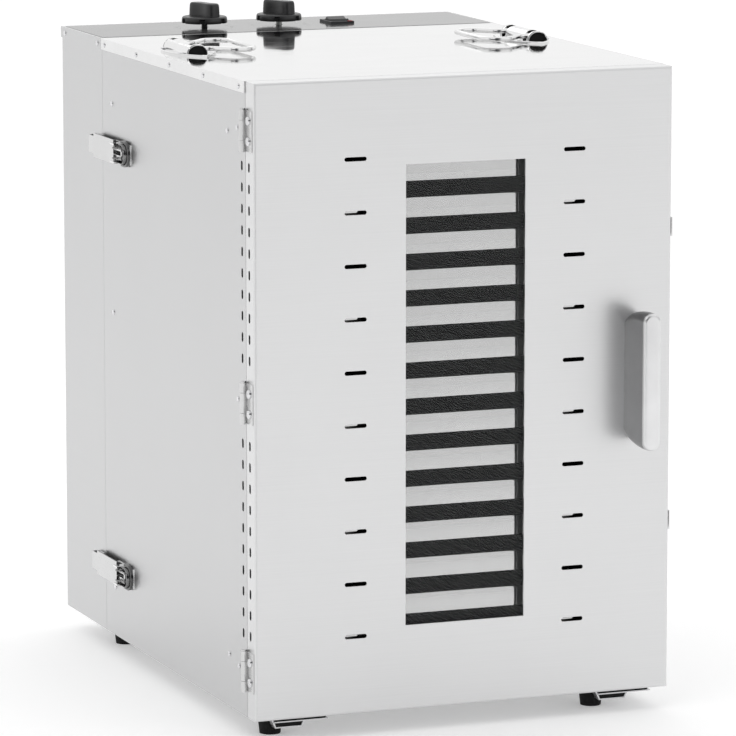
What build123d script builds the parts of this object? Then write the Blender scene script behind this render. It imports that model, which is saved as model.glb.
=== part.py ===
"""Cabinet food dehydrator with a hinged door, sixteen trays and a clip-on fan and heater module.

Millimetres. +Z is up, +Y runs from the door to the rear wall, X runs across the door.
Inside this file y = 0 is the outer face of the door; save() moves everything so that the
origin lies on the floor under the middle of the whole machine.
"""
import os
from math import cos, radians, sin

from build123d import *

# ---- driving dimensions -------------------------------------------------
WIDTH = 420.0            # body, side to side
HEIGHT = 598.0           # body, without feet
FOOT_H = 22.0
DOOR_T = 22.0            # door pan, front to back
SEAM_Y = 440.0           # where the rear module meets the chamber cabinet
DEPTH = 568.0            # body, front to back
SHEET = 1.2              # steel sheet
GAP = 0.3                # running gap between bodies

TRAY_COUNT = 16
TRAY_PITCH = 34.2
TRAY_FIRST = 43.0        # underside of the lowest tray above the floor
TRAY_W, TRAY_D = 394.0, 400.0
TRAY_FRONT = 12.0        # tray lip behind the outer face of the door
LIP_H = 18.8

WINDOW_W, WINDOW_H = 120.0, 436.0
DOOR_SLOT = (22.0, 4.0)
DOOR_SLOT_PITCH, DOOR_SLOT_ROWS, DOOR_SLOT_X = 50.0, 10, 110.0
SIDE_SLOT = (9.0, 4.5)
SIDE_SLOT_PITCH, SIDE_SLOT_SPAN = 20.0, 11

HINGE_LEN, HINGE_R, PIN_R = 38.0, 3.0, 1.4
HANDLE_W, HANDLE_LEN, HANDLE_REACH, HANDLE_T = 18.0, 131.0, 46.0, 10.5

KNOB_SKIRT_R, KNOB_LIFT, KNOB_SKIRT_H, KNOB_GRIP_H = 23.0, 4.8, 6.7, 13.5
TIMER_X, THERMOSTAT_X, SWITCH_X = -80.0, 0.0, 63.0

BAIL_R, BAIL_SPAN, BAIL_REACH = 3.75, 95.0, 50.0
FAN_R = 110.0

# ---- places worked out from them ----------------------------------------
HALF = WIDTH / 2
BASE = FOOT_H                     # underside of the body
TOP = FOOT_H + HEIGHT
MID_Z = BASE + HEIGHT / 2
INNER = HALF - SHEET              # inner face of the side sheets
CAP = HALF + SHEET                # outer face of the cap flanges
CAP_FLANGE = 11.0
DOOR_BACK = DOOR_T - 0.6
REAR_FRONT = SEAM_Y + GAP
HINGE_X, HINGE_Y = -HALF - HINGE_R - 0.4, DOOR_T
HINGE_Z = (BASE + 45.0, MID_Z, TOP - 45.0)
LATCH_Z = (BASE + 68.0, TOP - 107.0)
PANEL_Y = (SEAM_Y + DEPTH) / 2    # line of the knobs
FAN_Y = 482.0
BAIL_X, BAIL_Y, BAIL_Z = HALF - 33.0, DEPTH / 2, TOP + 5.5
HANDLE_X, HANDLE_Z = HALF - 38.6, MID_Z + 6.0
INLET_REACH = 3.0
Y_CENTRE = (DEPTH + INLET_REACH - HANDLE_REACH) / 2


def save(name, *solids):
    """Write one node, moved into the machine's own frame."""
    moved = [Pos(0, -Y_CENTRE, 0) * solid for solid in solids]
    export_step(moved[0] if len(moved) == 1 else Compound(children=moved), f"parts/{name}.step")


def block(x0, x1, y0, y1, z0, z1):
    """A box between two corners."""
    return Pos((x0 + x1) / 2, (y0 + y1) / 2, (z0 + z1) / 2) * Box(abs(x1 - x0), abs(y1 - y0), abs(z1 - z0))


def rod(start, end, r):
    """A round bar between two points."""
    a, b = Vector(*start), Vector(*end)
    return extrude(Plane(origin=a, z_dir=b - a) * Circle(r), (b - a).length)


def slot_through(length, width, plane, depth=6.0):
    """The cutter of one obround slot, its long way along the plane's x."""
    return extrude(plane * SlotOverall(length, width), depth / 2, both=True)


def dome(place, out, r=2.6, h=1.1):
    """A rivet head that stands on a face at place and points along out."""
    head = extrude(Plane(origin=place, z_dir=out) * Circle(r), h)
    return fillet(head.faces().sort_by(Axis(place, out))[-1].edges(), h * 0.75)


def flip(part):
    """The same part on the other side of the machine."""
    return mirror(part, Plane.YZ)


def side_slot_heights():
    """Heights of the small vents beside the door; three are missing at the middle hinge."""
    return [MID_Z + SIDE_SLOT_PITCH * k for k in range(-SIDE_SLOT_SPAN, SIDE_SLOT_SPAN + 1) if abs(k) > 1]


def side_slots(x, y):
    return [slot_through(*SIDE_SLOT, Plane(origin=(x, y, z), x_dir=(0, 0, 1), z_dir=(1, 0, 0)))
            for z in side_slot_heights()]


# ---- chamber cabinet ----------------------------------------------------
def side_panel():
    """Left side sheet with front and rear flanges turned inwards."""
    flange = 9.8
    low, high = BASE + SHEET, TOP - SHEET
    panel = block(-HALF, -INNER, DOOR_T, SEAM_Y, BASE, high)
    panel += block(-INNER, -INNER + flange, DOOR_T, DOOR_T + SHEET, low, high - 14)
    panel += block(-INNER, -INNER + flange, SEAM_Y - SHEET, SEAM_Y, low + 14, high - 14)
    panel -= side_slots(-HALF, DOOR_T + 10)
    return panel


def left_side_panel():
    """The hinge side has three notches that let the hinge leaves through."""
    notches = [block(-HALF - 1, -INNER + 12, DOOR_T - 1, DOOR_T + 2.6, z - 20, z + 20) for z in HINGE_Z]
    return side_panel() - notches


def top_panel():
    """Polished cap: side flanges outside the side panels, a rolled lip above the door."""
    sheet = block(-CAP, CAP, DOOR_T, SEAM_Y, TOP - SHEET, TOP)
    sheet += block(-CAP, -HALF, DOOR_T, SEAM_Y, TOP - CAP_FLANGE, TOP - SHEET)
    sheet += block(HALF, CAP, DOOR_T, SEAM_Y, TOP - CAP_FLANGE, TOP - SHEET)
    sheet += block(-INNER, INNER, DOOR_T, DOOR_T + SHEET, TOP - 14, TOP - SHEET)
    sheet += block(-INNER, INNER, SEAM_Y - SHEET, SEAM_Y, TOP - 14, TOP - SHEET)
    return sheet


def bottom_panel():
    floor = block(-INNER, INNER, DOOR_T, SEAM_Y, BASE, BASE + SHEET)
    floor += block(-198, 198, DOOR_T, DOOR_T + SHEET, BASE + SHEET, BASE + 13)
    floor += block(-INNER, INNER, SEAM_Y - SHEET, SEAM_Y, BASE + SHEET, BASE + 13)
    return floor


def tray_guide():
    """Left liner with one ledge under each tray."""
    back, face = INNER - 0.1, INNER - 1.1
    liner = block(-back, -face, 62, 425, BASE + 9, TOP - 16)
    for i in range(TRAY_COUNT):
        z = TRAY_FIRST + TRAY_PITCH * i
        liner += block(-face, -188, 62, 425, z - SHEET, z)
    return liner


def tray(i):
    """Tray i, counted from the bottom: slotted floor, tall front lip and three low rims."""
    z = TRAY_FIRST + TRAY_PITCH * i
    half, back, middle = TRAY_W / 2, TRAY_FRONT + TRAY_D, TRAY_FRONT + TRAY_D / 2
    floor = block(-half, half, TRAY_FRONT, back, z, z + SHEET)
    slots, bar, margin = 23, 2.6, 6.0
    pitch = (TRAY_W - 2 * margin) / slots
    floor -= [block(x - (pitch - bar) / 2, x + (pitch - bar) / 2, y0, y1, z - 1, z + 2)
              for x in [-half + margin + pitch * (k + 0.5) for k in range(slots)]
              for y0, y1 in ((TRAY_FRONT + margin, middle - bar), (middle + bar, back - margin))]
    lip = block(-half, half, TRAY_FRONT, TRAY_FRONT + SHEET, z + SHEET, z + LIP_H)
    rear_rim = block(-half, half, back - SHEET, back, z + SHEET, z + 8)
    side_rim = block(-half, -half + SHEET, TRAY_FRONT + SHEET, back - SHEET, z + SHEET, z + 8)
    return [floor, lip, rear_rim, side_rim, flip(side_rim)]


def cabinet_rivets():
    """Blind rivets on the cap flanges and the side panels, and under the carry handles."""
    heads = []
    for k in range(5):
        y = DOOR_T + 16 + 98 * k
        heads += [dome((s * CAP, min(y, SEAM_Y - 9), TOP - 6), (s, 0, 0)) for s in (-1, 1)]
    for s in (-1, 1):
        heads += [dome((s * HALF, SEAM_Y - 30, z), (s, 0, 0)) for z in (BASE + 50, MID_Z + 29, TOP - 62)]
        heads += [dome((s * HALF, DOOR_T + 22, z), (s, 0, 0)) for z in HINGE_Z]
        heads += [dome((s * HALF, DOOR_T + 49, z), (s, 0, 0)) for z in (HINGE_Z[0] + 6, HINGE_Z[2] - 6)]
        heads += [dome((s * (BAIL_X + 13.5), BAIL_Y + d, TOP + 1.5), (0, 0, 1), 3.0, 1.4) for d in (-25, 25)]
    return heads


def foot(x, y):
    """Tapered rubber foot."""
    return Pos(x, y, FOOT_H / 2) * Cone(10.0, 12.5, FOOT_H)


def foot_bracket(x):
    """Folded hat-section support under the front edge; x is its left end."""
    plate = block(x, x + 62, DOOR_T, DOOR_T + 11, BASE - SHEET, BASE)
    outer = make_face(Polyline((x + 3, BASE - SHEET), (x + 41, BASE - SHEET), (x + 35.5, BASE - 13),
                               (x + 8.5, BASE - 13), close=True))
    inner = make_face(Polyline((x + 4.8, BASE - SHEET), (x + 39.2, BASE - SHEET), (x + 34.5, BASE - 13 + SHEET),
                               (x + 9.5, BASE - 13 + SHEET), close=True))
    shell = extrude(Plane(origin=(0, DOOR_T + 10, 0), x_dir=(1, 0, 0), z_dir=(0, -1, 0)) * (outer), 10)
    hollow = extrude(Plane(origin=(0, DOOR_T + 10 - SHEET, 0), x_dir=(1, 0, 0), z_dir=(0, -1, 0)) * (inner), 10)
    return plate + (shell - hollow)


# ---- door hinges --------------------------------------------------------
def knuckle(z0, z1):
    return rod((HINGE_X, HINGE_Y, z0), (HINGE_X, HINGE_Y, z1), HINGE_R)


def pin_bore(z):
    return rod((HINGE_X, HINGE_Y, z - HINGE_LEN), (HINGE_X, HINGE_Y, z + HINGE_LEN), PIN_R + 0.1)


def cabinet_leaf(z):
    """The two end knuckles and the leaf that turns in behind the side panel."""
    quarter = HINGE_LEN / 4
    inside = -INNER + 0.1
    leaf = block(HINGE_X, inside + SHEET, DOOR_T + 0.4, DOOR_T + 1.6, z - 19, z + 19)
    leaf += block(inside, inside + SHEET, DOOR_T + 1.6, DOOR_T + 36, z - 19, z + 19)
    leaf -= block(HINGE_X - 5, -HALF + 0.8, DOOR_T - 5, DOOR_T + 5, z - quarter - 0.2, z + quarter + 0.2)
    for a, b in ((z - 2 * quarter, z - quarter - 0.2), (z + quarter + 0.2, z + 2 * quarter)):
        leaf += knuckle(a, b)
    return leaf - pin_bore(z)


def hinge_pin(z):
    """Pin with a head on each end."""
    pin = rod((HINGE_X, HINGE_Y, z - 19), (HINGE_X, HINGE_Y, z + 19), PIN_R)
    pin += rod((HINGE_X, HINGE_Y, z + 19), (HINGE_X, HINGE_Y, z + 20.2), 2.4)
    return pin + rod((HINGE_X, HINGE_Y, z - 20.2), (HINGE_X, HINGE_Y, z - 19), 2.4)


def door_leaf(z):
    """The middle knuckle and the leaf riveted on the door's hinge flange."""
    quarter = HINGE_LEN / 4
    edge = DOOR_BACK - 1.8
    leaf = block(-HALF - SHEET, -HALF, 3.5, edge, z - 19, z + 19)
    leaf += block(-HALF - SHEET, -HALF - 0.2, edge, HINGE_Y, z - quarter + 0.2, z + quarter - 0.2)
    leaf += knuckle(z - quarter + 0.2, z + quarter - 0.2)
    return leaf - pin_bore(z)


# ---- door ---------------------------------------------------------------
def door_skin():
    """Sheet pan: rounded outer edges, returns all round, window and vents."""
    pan = block(-HALF, HALF, 0, DOOR_BACK, BASE, TOP)
    front_edges = pan.faces().sort_by(Axis.Y)[0].edges()
    pan = fillet(front_edges, 2.4)
    cavity = block(-INNER, INNER, SHEET, DOOR_BACK - SHEET, BASE + SHEET, TOP - SHEET)
    mouth = block(-INNER + 8, INNER - 8, SHEET, DOOR_BACK + 1, BASE + SHEET + 8, TOP - SHEET - 8)
    pan -= [cavity, mouth, block(-WINDOW_W / 2, WINDOW_W / 2, -1, 3, MID_Z - WINDOW_H / 2, MID_Z + WINDOW_H / 2)]
    rows = [MID_Z + DOOR_SLOT_PITCH * (k - (DOOR_SLOT_ROWS - 1) / 2) for k in range(DOOR_SLOT_ROWS)]
    pan -= [slot_through(*DOOR_SLOT, Plane(origin=(x, 0, z), x_dir=(1, 0, 0), z_dir=(0, -1, 0)))
            for x in (-DOOR_SLOT_X, DOOR_SLOT_X) for z in rows]
    pan -= side_slots(-HALF, 12.8)
    return pan


def window_pane():
    w, h = WINDOW_W / 2 + 10, WINDOW_H / 2 + 10
    return block(-w, w, SHEET, SHEET + 3, MID_Z - h, MID_Z + h)


def window_retainer():
    """Flat frame that holds the pane against the skin."""
    w, h = WINDOW_W / 2, WINDOW_H / 2
    frame = block(-w - 18, w + 18, 4.2, 5.4, MID_Z - h - 18, MID_Z + h + 18)
    return frame - block(-w - 1, w + 1, 3, 7, MID_Z - h - 1, MID_Z + h + 1)


def door_handle():
    """Deep pull with round shoulders, hollow and open towards the free edge of the door."""
    front = Plane(origin=(HANDLE_X, 0, HANDLE_Z), x_dir=(1, 0, 0), z_dir=(0, -1, 0))
    pull = extrude(front * RectangleRounded(HANDLE_W, HANDLE_LEN, 8.5), HANDLE_REACH)
    pull = fillet(pull.faces().sort_by(Axis.Y)[0].edges(), 3.0)
    half = HANDLE_LEN / 2 - 12
    return pull - block(HANDLE_X - HANDLE_W / 2 + 3.5, HANDLE_X + HANDLE_W, HANDLE_T - HANDLE_REACH, -3,
                        HANDLE_Z - half, HANDLE_Z + half)


def door_fasteners():
    """Window nuts, handle screws, hinge rivets and the two catch buttons."""
    w, h = WINDOW_W / 2 + 9.5, WINDOW_H / 2 + 9.5
    parts = [rod((x, 5.4, MID_Z + z), (x, 8.4, MID_Z + z), 3.2)
             for x in (-w, w) for z in (-h, -h / 2, 0, h / 2, h)]
    parts += [rod((HANDLE_X, SHEET, HANDLE_Z + s * 60), (HANDLE_X, 4.4, HANDLE_Z + s * 60), 4.5) for s in (-1, 1)]
    parts += [dome((-HALF - SHEET, 11, z + s * 9.5), (-1, 0, 0), 4.4, 1.8) for z in HINGE_Z for s in (-1, 1)]
    parts += [dome((HALF, 11, z), (1, 0, 0), 3.5, 1.0) for z in CATCH_Z]
    return parts


CATCH_Z = (BASE + 0.27 * HEIGHT, BASE + 0.743 * HEIGHT)


def spring_catch(z):
    """Sprung leaf on the cabinet that clicks over a button on the door's free edge."""
    t = SHEET
    outline = [(HALF, 62), (HALF, 24.5), (HALF + 3.2, 19.5), (HALF + 3.2, 7), (HALF + 1.6, 3.5),
               (HALF + 1.6 + t, 3.0), (HALF + 3.4 + t, 6.6), (HALF + 5.6, 10), (HALF + 5.6, 17),
               (HALF + 3.6, 21.5), (HALF + t, 25.6), (HALF + t, 62)]
    leaf = extrude(Plane.XY * make_face(Polyline(*outline, close=True)), 9, both=True)
    return Pos(0, 0, z) * leaf


# ---- draw latches between cabinet and rear module -----------------------
PIVOT = (-HALF - 8.0, SEAM_Y - 61.0)          # lever on its base, seen from above
LINK = (-HALF - 4.0, SEAM_Y - 71.0)           # hasp on the lever


def latch_base(z):
    """Plate on the cabinet side with two ears for the lever pin."""
    plate = block(-HALF - SHEET, -HALF, SEAM_Y - 87, SEAM_Y - 39, z - 10, z + 10)
    for s in (-1, 1):
        z0, z1 = sorted((z + s * 8.2, z + s * 9.8))
        plate += block(PIVOT[0] - 3, -HALF - SHEET, PIVOT[1] - 6, PIVOT[1] + 6, z0, z1)
    return plate - rod((*PIVOT, z - 12), (*PIVOT, z + 12), 1.6)


def latch_lever(z):
    """Lever: two cheeks, each with its own pin stub, and a broad thumb plate with a round end."""
    x, y = PIVOT
    lever = block(x - 3.5, x - 2, y - 17, y - 14.5, z - 10, z + 10)
    lever += Pos(x - 2.75, y - 17, z) * Rot(0, 90, 0) * Cylinder(10, 1.5)
    for s in (-1, 1):
        z0, z1 = sorted((z + s * 6, z + s * 11))
        lever -= block(x - 4, x - 1, y - 14.5, y, z0, z1)
        z0, z1 = sorted((z + s * 4.3, z + s * 5.8))
        lever += block(x - 3.5, x + 2, y - 18, y, z0, z1)
        lever += block(x - 3.5, LINK[0] + 2, LINK[1] - 3, LINK[1] + 3, z0, z1)
        z0, z1 = sorted((z + s * 4.3, z + s * 9.8))
        lever += rod((x, y, z0), (x, y, z1), 1.5)
    lever -= block(x - 4, x - 2, y - 14.5, y - 4, z - 4.3, z + 4.3)
    return lever - rod((*LINK, z - 6), (*LINK, z + 6), 1.3)


def latch_hasp(z):
    """Hasp: cross pin, two arms between the lever's cheeks and a plate hooked over the keeper."""
    x, y = LINK
    hook = SEAM_Y + 25.3
    hasp = rod((x, y, z - 5.7), (x, y, z + 5.7), 1.2)
    for s in (-1, 1):
        z0, z1 = sorted((z + s * 2.2, z + s * 4))
        hasp += block(x - 1.2, x + 1.2, y - 2, SEAM_Y - 4, z0, z1)
    hasp += block(x - 2.4, x - 1.2, SEAM_Y - 53.5, hook + 1.2, z - 10.5, z + 10.5)
    return hasp + block(x - 1.2, x + 1.8, hook, hook + 1.2, z - 10.5, z + 10.5)


def latch_keeper(z):
    """Keeper on the rear module, with the lip that the hasp hooks behind."""
    keeper = block(-HALF - SHEET, -HALF, SEAM_Y + 6, SEAM_Y + 24.4, z - 9, z + 9)
    return keeper + block(-HALF - 4.2, -HALF - SHEET, SEAM_Y + 23.2, SEAM_Y + 24.4, z - 9, z + 9)


# ---- carry handles ------------------------------------------------------
def carry_plate():
    """Left pressed plate: lens outline, and a hood notched where the arms of the bail leave it."""
    half_w, half_l = 24.0, 55.0
    big = (half_l ** 2 + half_w ** 2) / (2 * half_w)
    lens = (Pos(big - half_w, 0) * Circle(big)) & (Pos(half_w - big, 0) * Circle(big))
    plate = extrude(Plane(origin=(-BAIL_X + 3, BAIL_Y, TOP)) * lens, 1.5)
    across = Plane(origin=(-BAIL_X, BAIL_Y, TOP + 1.5), x_dir=(1, 0, 0), z_dir=(0, -1, 0))
    hood = extrude(across * (Ellipse(10.5, 9.4) - Ellipse(9.3, 8.3)), 35, both=True)
    hood -= block(-BAIL_X - 20, -BAIL_X + 20, BAIL_Y - 60, BAIL_Y + 60, TOP - 20, TOP + 1.5)
    for s in (-1, 1):
        y0, y1 = sorted((BAIL_Y + s * 22.5, BAIL_Y + s * 31.5))
        hood -= block(-BAIL_X - 4.6, -BAIL_X + 12, y0, y1, TOP + 1.5, TOP + 15)
    return plate + hood


def bail():
    """Left bail, a closed ring of round bar with flared arms, folded flat towards the middle."""
    arm, grip = 27.0, BAIL_SPAN / 2
    corners = [(0, -arm), (16, -arm), (BAIL_REACH, -grip), (BAIL_REACH, grip), (16, arm), (0, arm)]
    path = Pos(-BAIL_X, BAIL_Y, BAIL_Z) * FilletPolyline(*corners, radius=6, close=True).wire()
    return sweep(Plane(origin=path @ 0, z_dir=path % 0) * Circle(BAIL_R), path=path)


# ---- rear module --------------------------------------------------------
def rear_housing():
    """Folded wrap: two sides and a floor with flanges front and rear."""
    y0, y1 = REAR_FRONT, DEPTH
    wrap = block(-HALF, HALF, y0, y1, BASE, TOP - SHEET) - block(-INNER, INNER, y0 - 1, y1 + 1, BASE + SHEET, TOP)
    for s in (-1, 1):
        x0, x1 = sorted((s * INNER, s * (INNER - 10)))
        wrap += block(x0, x1, y0, y0 + SHEET, BASE + SHEET, TOP - SHEET)
        wrap += block(x0, x1, y1 - 2 * SHEET, y1 - SHEET, BASE + SHEET, TOP - SHEET)
    return wrap


def rear_back_wall():
    """Rear sheet with rings of air inlet holes round the motor, and the inlet cut-out."""
    wall = block(-INNER, INNER, DEPTH - SHEET, DEPTH, BASE + SHEET, TOP - SHEET)
    holes = []
    for ring, count in ((72, 12), (94, 16), (116, 20)):
        for k in range(count):
            a = radians(360 / count * k)
            x, z = ring * cos(a), MID_Z + ring * sin(a)
            holes.append(rod((x, DEPTH - 4, z), (x, DEPTH + 2, z), 7.0))
    holes.append(block(-163, -137, DEPTH - 4, DEPTH + 2, 66, 86))
    return wall - holes


def rear_top_cap():
    """Cap that carries the controls."""
    y0, y1 = REAR_FRONT, DEPTH
    cap = block(-CAP, CAP, y0, y1, TOP - SHEET, TOP)
    cap += block(-CAP, -HALF, y0, y1, TOP - CAP_FLANGE, TOP - SHEET)
    cap += block(HALF, CAP, y0, y1, TOP - CAP_FLANGE, TOP - SHEET)
    cap += block(-CAP, CAP, y1, y1 + SHEET, TOP - CAP_FLANGE, TOP)
    cap -= [rod((x, PANEL_Y, TOP - 3), (x, PANEL_Y, TOP + 1), 5.0) for x in (TIMER_X, THERMOSTAT_X)]
    return cap - block(SWITCH_X - 11.2, SWITCH_X + 11.2, PANEL_Y - 14.2, PANEL_Y + 14.2, TOP - 3, TOP + 1)


def air_baffle():
    """Slotted sheet between the fan and the trays."""
    sheet = block(-206, 206, REAR_FRONT + SHEET, REAR_FRONT + 2 * SHEET, BASE + 3, TOP - 4)
    slots = [slot_through(56, 7, Plane(origin=(x, REAR_FRONT + SHEET, MID_Z + 40 * k), x_dir=(1, 0, 0),
                                       z_dir=(0, -1, 0)))
             for x in (-135, -45, 45, 135) for k in range(-6, 7)]
    return sheet - slots


def fan_motor():
    """Motor can on the rear wall, with its shaft."""
    can = rod((0, 520, MID_Z), (0, DEPTH - SHEET, MID_Z), 44)
    can += rod((0, 508, MID_Z), (0, 520, MID_Z), 16)
    return can + rod((0, FAN_Y - 14, MID_Z), (0, 508, MID_Z), 4)


def fan_blade():
    """Hub and five pitched blades."""
    hub = rod((0, FAN_Y - 12, MID_Z), (0, FAN_Y + 12, MID_Z), 20)
    blade = Pos(62, 0, 0) * Rot(38, 0, 0) * Box(92, 34, 1.6)
    for k in range(5):
        hub += Pos(0, FAN_Y, MID_Z) * Rot(0, 72 * k, 0) * blade
    return hub - rod((0, FAN_Y - 30, MID_Z), (0, FAN_Y + 30, MID_Z), 4.2)


def heater_element():
    """Tubular ring round the fan with two legs to the rear wall."""
    y, radius, gap = 505, 135, 6
    path = Plane(origin=(0, y, MID_Z), x_dir=(1, 0, 0), z_dir=(0, -1, 0)) * CenterArc((0, 0), radius, gap - 90,
                                                                                     360 - 2 * gap)
    ring = sweep(Plane(origin=path @ 0, z_dir=path % 0) * Circle(3.2), path=path)
    for s in (-1, 1):
        x, z = s * radius * sin(radians(gap)), MID_Z - radius * cos(radians(gap))
        ring += rod((x, y - 3.6, z), (x, DEPTH - SHEET, z), 3.6)
    return ring


def timer_body():
    """Clockwork timer under the panel, with its spindle."""
    case = block(TIMER_X - 25, TIMER_X + 25, PANEL_Y - 22, PANEL_Y + 22, TOP - 36, TOP - SHEET)
    return case + rod((TIMER_X, PANEL_Y, TOP - SHEET), (TIMER_X, PANEL_Y, TOP + 17), 3.0)


def thermostat_body():
    """Capillary thermostat under the panel, with its spindle."""
    case = rod((THERMOSTAT_X, PANEL_Y, TOP - 26), (THERMOSTAT_X, PANEL_Y, TOP - SHEET), 19)
    case += block(THERMOSTAT_X - 24, THERMOSTAT_X + 24, PANEL_Y - 9, PANEL_Y + 9, TOP - 4, TOP - SHEET)
    return case + rod((THERMOSTAT_X, PANEL_Y, TOP - SHEET), (THERMOSTAT_X, PANEL_Y, TOP + 17), 3.0)


def knob(x, turn):
    """Round skirt with a waisted bar grip; turn is the direction of the grip."""
    z = TOP + KNOB_LIFT
    skirt = Pos(0, 0, KNOB_SKIRT_H / 2) * Cone(KNOB_SKIRT_R, KNOB_SKIRT_R - 1.2, KNOB_SKIRT_H)
    grip = Pos(0, 0, KNOB_SKIRT_H + KNOB_GRIP_H / 2) * Box(17, 38, KNOB_GRIP_H)
    grip &= Pos(0, 0, KNOB_SKIRT_H + KNOB_GRIP_H / 2) * Cylinder(19, KNOB_GRIP_H)
    grip -= [Pos(s * 34, 0, KNOB_SKIRT_H + KNOB_GRIP_H / 2) * Cylinder(29, KNOB_GRIP_H + 1) for s in (-1, 1)]
    body = skirt + grip
    body -= Pos(0, 19, KNOB_SKIRT_H + KNOB_GRIP_H) * Box(1.6, 9, 2.4)
    body -= Pos(0, 0, 6.2) * Cylinder(3.1, 12.8)
    return Pos(x, PANEL_Y, z) * Rot(0, 0, turn) * body


def switch_body():
    """Switch housing with the bezel that stands on the panel."""
    case = block(SWITCH_X - 11, SWITCH_X + 11, PANEL_Y - 14, PANEL_Y + 14, TOP - 26, TOP)
    case += block(SWITCH_X - 12.8, SWITCH_X + 12.8, PANEL_Y - 15.8, PANEL_Y + 15.8, TOP, TOP + 2.4)
    return case - block(SWITCH_X - 9.6, SWITCH_X + 9.6, PANEL_Y - 12.8, PANEL_Y + 12.8, TOP - 20, TOP + 3)


def switch_rocker():
    """Rocker, round about its pivot, with a shallow valley on top; the front end is pressed down."""
    pivot = (SWITCH_X, PANEL_Y, TOP - 5.5)
    body = Rot(0, 90, 0) * Cylinder(12.4, 18.6)
    body -= Pos(0, 0, -14) * Box(30, 40, 16)
    valley = make_face(Polyline((-14, 12.4), (0, 9.2), (14, 12.4), (14, 20), (-14, 20), close=True))
    body -= extrude(Plane.YZ * valley, 12, both=True)
    return Pos(*pivot) * Rot(7, 0, 0) * body


def power_inlet():
    """Three-pin appliance inlet in the rear wall."""
    inlet = block(-162.5, -137.5, DEPTH - 22, DEPTH, 66.5, 85.5)
    inlet += block(-175, -125, DEPTH, DEPTH + INLET_REACH, 62, 90)
    inlet -= block(-161, -139, DEPTH - 18, DEPTH + 4, 68, 84)
    for x, z in ((-157, 74), (-150, 78), (-143, 74)):
        inlet += rod((x, DEPTH - 18, z), (x, DEPTH + 1, z), 1.6)
    return inlet


def rear_fasteners():
    """Keepers of the draw latches, cap rivets and rear wall screws."""
    keepers = [latch_keeper(z) for z in LATCH_Z]
    parts = keepers + [flip(k) for k in keepers]
    for s in (-1, 1):
        parts += [dome((s * CAP, y, TOP - 6), (s, 0, 0)) for y in (SEAM_Y + 11, DEPTH - 13)]
        parts += [dome((s * 203, DEPTH, z), (0, 1, 0), 3.2, 1.8) for z in (BASE + 22, MID_Z, TOP - 32)]
        parts += [dome((s * 30, DEPTH, MID_Z + t * 30), (0, 1, 0), 3.2, 1.8) for t in (-1, 1)]
        parts += [dome((-150 + s * 20, DEPTH + INLET_REACH, 76), (0, 1, 0), 2.6, 1.0)]
    return parts


def build_cabinet():
    save("left_side_panel", left_side_panel())
    save("right_side_panel", flip(side_panel()))
    save("top_panel", top_panel())
    save("bottom_panel", bottom_panel())
    guide = tray_guide()
    save("tray_guides", guide, flip(guide))
    for i in range(TRAY_COUNT):
        save(f"tray_{i + 1:02d}", *tray(i))
    save("cabinet_rivets", *cabinet_rivets())
    save("foot_brackets", foot_bracket(-191), foot_bracket(140))
    save("front_feet", foot(-179, 46), foot(150, 46))
    save("hinge_cabinet_leaves", *[cabinet_leaf(z) for z in HINGE_Z], *[hinge_pin(z) for z in HINGE_Z])
    save("door_spring_catches", *[spring_catch(z) for z in CATCH_Z])
    plate = carry_plate()
    save("carry_handle_plates", plate, flip(plate))
    save("left_bail", bail())
    save("right_bail", flip(bail()))


def build_door():
    save("door_skin", door_skin())
    save("window_pane", window_pane())
    save("window_retainer", window_retainer())
    save("door_handle", door_handle())
    save("hinge_door_leaves", *[door_leaf(z) for z in HINGE_Z])
    save("door_fasteners", *door_fasteners())


def build_latches():
    bases = [latch_base(z) for z in LATCH_Z]
    save("latch_bases", *bases, *[flip(b) for b in bases])
    for level, z in zip(("lower", "upper"), LATCH_Z):
        lever, hasp = latch_lever(z), latch_hasp(z)
        save(f"latch_lever_left_{level}", lever)
        save(f"latch_lever_right_{level}", flip(lever))
        save(f"latch_hasp_left_{level}", hasp)
        save(f"latch_hasp_right_{level}", flip(hasp))


def build_rear_module():
    save("rear_housing", rear_housing())
    save("rear_back_wall", rear_back_wall())
    save("rear_top_cap", rear_top_cap())
    save("air_baffle", air_baffle())
    save("fan_motor", fan_motor())
    save("fan_blade", fan_blade())
    save("heater_element", heater_element())
    save("timer_body", timer_body())
    save("thermostat_body", thermostat_body())
    save("timer_knob", knob(TIMER_X, 20))
    save("thermostat_knob", knob(THERMOSTAT_X, 25))
    save("switch_body", switch_body())
    save("switch_rocker", switch_rocker())
    save("power_inlet", power_inlet())
    save("rear_feet", foot(-180, 470), foot(150, 470))
    save("rear_fasteners", *rear_fasteners())


os.makedirs("parts", exist_ok=True)
build_cabinet()
build_door()
build_latches()
build_rear_module()
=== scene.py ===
"""Looks of the cabinet food dehydrator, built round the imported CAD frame. Metres, +Z up."""

from math import asin, cos, degrees, pi, radians, sin, tan

import bmesh
import bpy
from mathutils import Matrix, Vector


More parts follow.
